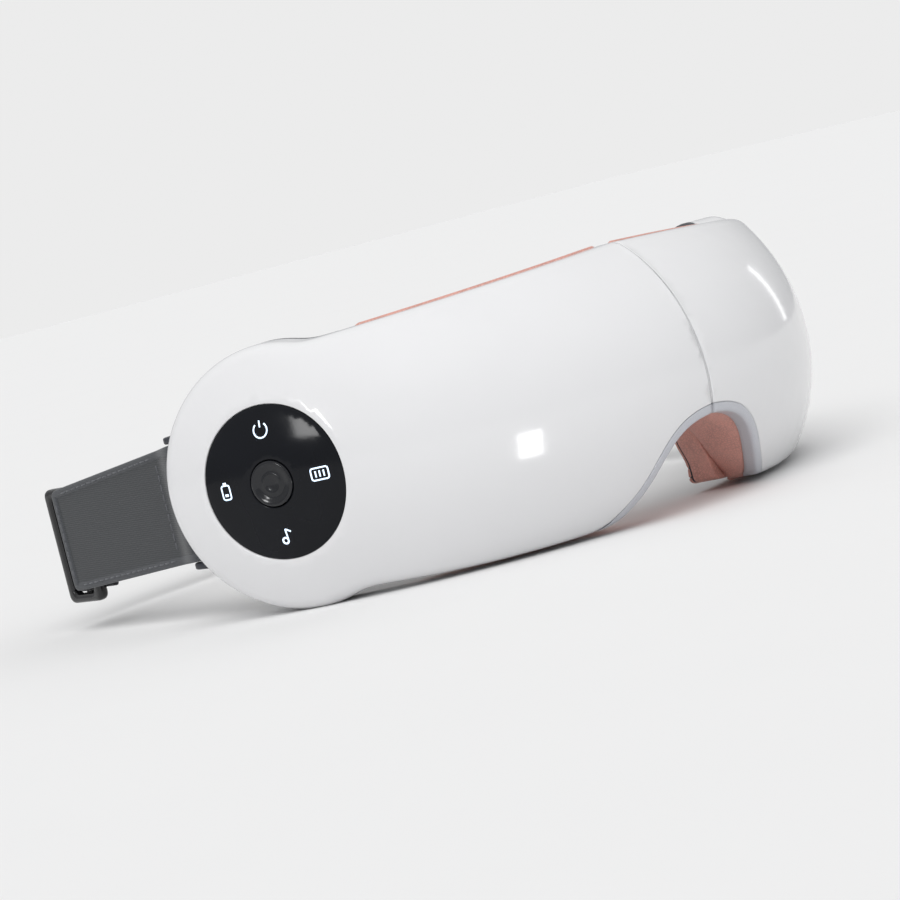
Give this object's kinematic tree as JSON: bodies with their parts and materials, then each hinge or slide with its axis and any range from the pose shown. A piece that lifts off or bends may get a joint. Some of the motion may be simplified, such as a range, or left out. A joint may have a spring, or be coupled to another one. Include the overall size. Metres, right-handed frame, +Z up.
{
  "type": "eye massager mask",
  "caption": "Folding curved eye massager mask with round temple lobes, a touch control disc, padded face side and an adjustable head strap.",
  "frame": {"origin": "middle of the bottom of the whole object's box, on the surface that the two lobes' bottom flats stand on", "axes": "+Z up, -Y is the front of the mask, which faces away from the wearer, +X is towards the lobe without controls"},
  "size_m": [0.203, 0.1934, 0.0701],
  "materials": {
    "white_shell": "high gloss white injection moulding",
    "grey_trim": "satin silver-grey paint",
    "inner_plastic": "fine textured moulding",
    "dark_cover": "fine textured dark navy moulding",
    "leatherette": "soft rose-brown protein leather",
    "cushion_cloth": "knitted cushion cover",
    "air_cell": "TPU film",
    "heating_film": "polyimide film",
    "silicone": "translucent silicone",
    "steel": "plain",
    "brass": "sintered weight",
    "black_gloss": "piano black lens",
    "button_gloss": "glossy black cap",
    "icon_light": "lit light guide",
    "circuit_board": "solder mask",
    "battery_wrap": "aluminium pouch film",
    "pump_plastic": "natural nylon",
    "speaker": "plastic basket",
    "tab_fabric": "dark grey knitted laminate with a hem",
    "buckle_plastic": "moulded black acetal",
    "elastic": "woven elastic"
  },
  "bodies": {
    "left_half": {"left_front_shell": "white_shell", "left_nose_trim": "grey_trim", "left_nose_liner": "leatherette", "left_rear_frame": "inner_plastic", "left_temple_cover": "dark_cover", "left_face_pad": "leatherette", "left_eye_air_cell": "air_cell", "left_vibration_motor": "steel", "left_speaker": "speaker", "left_air_hose": "silicone", "left_screws": "steel", "left_strap_bar": "steel", "left_hinge_leaf": "steel", "hinge_pin": "steel", "control_panel": "black_gloss", "icon_windows": "icon_light", "main_board": "circuit_board", "button_switch": "inner_plastic", "battery": "battery_wrap", "charging_port": "steel"},
    "right_half": {"right_front_shell": "white_shell", "right_nose_trim": "grey_trim", "right_nose_liner": "leatherette", "right_rear_frame": "inner_plastic", "right_temple_cover": "dark_cover", "right_face_pad": "leatherette", "right_eye_air_cell": "air_cell", "right_vibration_motor": "steel", "right_speaker": "speaker", "right_air_hose": "silicone", "right_screws": "steel", "right_strap_bar": "steel", "right_hinge_leaf": "steel", "air_pump": "pump_plastic", "pump_motor": "steel", "air_valve": "pump_plastic"},
    "left_strap": {"left_strap_tab": "tab_fabric", "left_strap_buckle": "buckle_plastic", "left_elastic_band": "elastic"},
    "left_massage_cushion": {"left_massage_cushion": "cushion_cloth", "left_heating_film": "heating_film"},
    "left_motor_weight": {"left_motor_weight": "brass"},
    "right_strap": {"right_strap_tab": "tab_fabric", "right_strap_buckle": "buckle_plastic", "right_elastic_band": "elastic"},
    "right_massage_cushion": {"right_massage_cushion": "cushion_cloth", "right_heating_film": "heating_film"},
    "right_motor_weight": {"right_motor_weight": "brass"},
    "power_button": {"power_button": "button_gloss"}
  },
  "joints": [
    {"name": "fold", "type": "hinge", "parent": "left_half", "child": "right_half", "pos_m": [0, -0.07275, 0.0446], "axis": [0, 0, 1], "range_deg": [0, 82]},
    {"name": "left_strap_swing", "type": "hinge", "parent": "left_half", "child": "left_strap", "pos_m": [-0.086, 0.01155, 0.0313], "axis": [0, 0, 1], "range_deg": [0, 82]},
    {"name": "strap_centre_bend", "type": "hinge", "parent": "left_strap", "child": "right_strap", "pos_m": [0, 0.09585, 0.0239], "axis": [0, 0, 1], "range_deg": [-82, 0]},
    {"name": "power_button_press", "type": "slide", "parent": "left_half", "child": "power_button", "axis": [0.9218, 0.3876, 0], "range_m": [0, 0.0006], "stiffness_N_per_m": 600, "springref_m": -0.0008},
    {"name": "left_massage_press", "type": "slide", "parent": "left_half", "child": "left_massage_cushion", "axis": [0.5407, 0.8412, 0], "range_m": [0, 0.003], "stiffness_N_per_m": 300, "springref_m": -0.001},
    {"name": "right_massage_press", "type": "slide", "parent": "right_half", "child": "right_massage_cushion", "axis": [-0.5407, 0.8412, 0], "range_m": [0, 0.003]},
    {"name": "left_motor_spin", "type": "hinge", "parent": "left_half", "child": "left_motor_weight", "pos_m": [-0.04496, -0.06801, 0.0416], "axis": [-0.8412, 0.5407, 0], "continuous": true},
    {"name": "right_motor_spin", "type": "hinge", "parent": "right_half", "child": "right_motor_weight", "pos_m": [0.04496, -0.06801, 0.0416], "axis": [0.8412, 0.5407, 0], "continuous": true}
  ],
  "couplings": [
    {"joint": "left_strap_swing", "follows": "fold", "ratio": 1},
    {"joint": "strap_centre_bend", "follows": "fold", "ratio": -1},
    {"joint": "right_massage_press", "follows": "left_massage_press", "ratio": 1}
  ]
}
